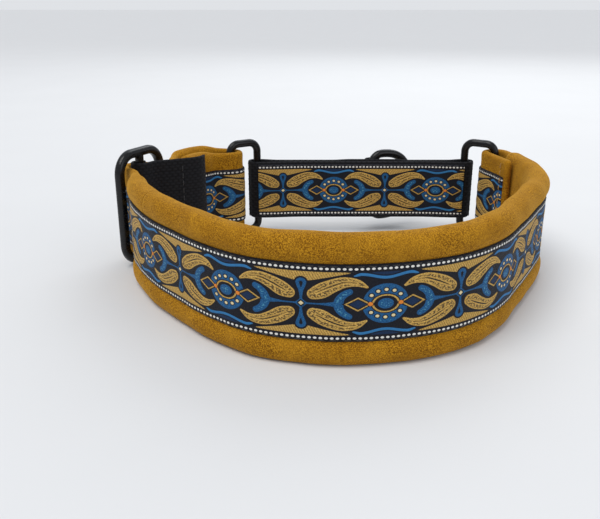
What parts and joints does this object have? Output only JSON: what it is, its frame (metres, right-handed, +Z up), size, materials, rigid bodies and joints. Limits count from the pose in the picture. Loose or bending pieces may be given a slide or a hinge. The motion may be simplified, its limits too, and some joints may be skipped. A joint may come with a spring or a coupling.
{
  "type": "martingale dog collar",
  "caption": "Padded velvet dog collar faced with woven ribbon, with a tri-glide slider, rectangular rings and a webbing draw loop carrying a D-ring.",
  "frame": {"origin": "middle of the collar's footprint at floor level, with the collar standing on its lower edge", "axes": "+Z up across the band's width, +Y from the front of the band to the draw loop at the back, +X to the right seen from the front"},
  "size_m": [0.1636, 0.1438, 0.045],
  "materials": {
    "velvet": "mustard velvet, short pile",
    "woven_ribbon": "jacquard ribbon, blue and gold on black",
    "core_webbing": "polyester webbing inside the band",
    "padding": "soft foam padding",
    "black_webbing": "ribbed black nylon webbing",
    "black_enamel": "glossy black coating",
    "gold_thread": "mustard sewing thread",
    "black_thread": "black sewing thread"
  },
  "bodies": {
    "front_band": {"velvet_front": "velvet", "core_front": "core_webbing", "ribbon_front": "woven_ribbon", "padding_front": "padding"},
    "left_band": {"velvet_left_side": "velvet", "core_left_side": "core_webbing", "ribbon_left_side": "woven_ribbon", "padding_left_side": "padding", "velvet_back_left": "velvet", "core_back_left": "core_webbing", "ribbon_back_left": "woven_ribbon", "padding_back_left": "padding", "velvet_left_fold": "velvet", "core_left_fold": "core_webbing", "ribbon_left_fold": "woven_ribbon"},
    "right_band": {"velvet_right_side": "velvet", "core_right_side": "core_webbing", "ribbon_right_side": "woven_ribbon", "padding_right_side": "padding", "velvet_right_fold": "velvet", "core_right_fold": "core_webbing", "ribbon_right_fold": "woven_ribbon", "right_end_stitching": "gold_thread"},
    "slider": {"slider_frame": "black_enamel", "slider_tab": "black_webbing", "tab_stitching": "black_thread", "velvet_slider_pass": "velvet", "core_slider_pass": "core_webbing", "ribbon_slider_pass": "woven_ribbon", "velvet_return": "velvet", "core_return": "core_webbing", "ribbon_return": "woven_ribbon", "padding_return": "padding"},
    "left_ring": {"left_ring": "black_enamel"},
    "right_ring": {"right_ring": "black_enamel"},
    "loop_inner": {"loop_web_inner": "black_webbing", "loop_ribbon_inner": "woven_ribbon"},
    "loop_middle": {"loop_web_middle": "black_webbing", "d_ring_keeper": "black_webbing", "keeper_stitching_left": "black_thread", "keeper_stitching_right": "black_thread"},
    "loop_left_arm": {"loop_web_left": "black_webbing", "loop_ribbon_left": "woven_ribbon"},
    "loop_right_arm": {"loop_web_right": "black_webbing", "loop_ribbon_right": "woven_ribbon"},
    "d_ring": {"d_ring": "black_enamel"}
  },
  "joints": [
    {"name": "loop_draw", "type": "slide", "parent": "front_band", "child": "loop_middle", "axis": [0, 1, 0], "range_m": [0, 0.018]},
    {"name": "loop_inner_draw", "type": "slide", "parent": "front_band", "child": "loop_inner", "axis": [0, 1, 0], "range_m": [0, 0.0027]},
    {"name": "left_arm_turn", "type": "hinge", "parent": "loop_middle", "child": "loop_left_arm", "pos_m": [0.01094, 0.06096, 0.0197], "axis": [0, 0, 1], "range_deg": [0, 22.25]},
    {"name": "right_arm_turn", "type": "hinge", "parent": "loop_middle", "child": "loop_right_arm", "pos_m": [0.02994, 0.06096, 0.0197], "axis": [0, 0, 1], "range_deg": [-31.45, 0]},
    {"name": "left_band_flex", "type": "hinge", "parent": "front_band", "child": "left_band", "pos_m": [-0.04806, -0.03914, 0.0195], "axis": [0, 0, 1], "range_deg": [-4.55, 0]},
    {"name": "right_band_flex", "type": "hinge", "parent": "front_band", "child": "right_band", "pos_m": [0.04694, -0.04714, 0.0195], "axis": [0, 0, 1], "range_deg": [0, 3.48]},
    {"name": "left_ring_swing", "type": "hinge", "parent": "left_band", "child": "left_ring", "pos_m": [-0.04137, 0.05038, 0.021], "axis": [0, 0, 1], "range_deg": [0, 26.6]},
    {"name": "right_ring_swing", "type": "hinge", "parent": "right_band", "child": "right_ring", "pos_m": [0.07125, 0.05038, 0.021], "axis": [0, 0, 1], "range_deg": [-11.28, 0]},
    {"name": "slider_adjust", "type": "slide", "parent": "left_band", "child": "slider", "axis": [-0.308, 0.9514, 0], "range_m": [-0.008, 0]},
    {"name": "d_ring_swing", "type": "hinge", "parent": "loop_middle", "child": "d_ring", "pos_m": [0.02044, 0.06437, 0.0195], "axis": [0, 0, 1], "range_deg": [-15, 140]}
  ],
  "couplings": [
    {"joint": "loop_inner_draw", "follows": "loop_draw", "ratio": 0.15},
    {"joint": "left_arm_turn", "follows": "loop_draw", "rad_per_m": 21.545},
    {"joint": "right_arm_turn", "follows": "loop_draw", "rad_per_m": -30.471},
    {"joint": "left_band_flex", "follows": "loop_draw", "rad_per_m": -4.393},
    {"joint": "right_band_flex", "follows": "loop_draw", "rad_per_m": 3.36},
    {"joint": "left_ring_swing", "follows": "loop_draw", "rad_per_m": 25.775},
    {"joint": "right_ring_swing", "follows": "loop_draw", "rad_per_m": -10.92}
  ]
}
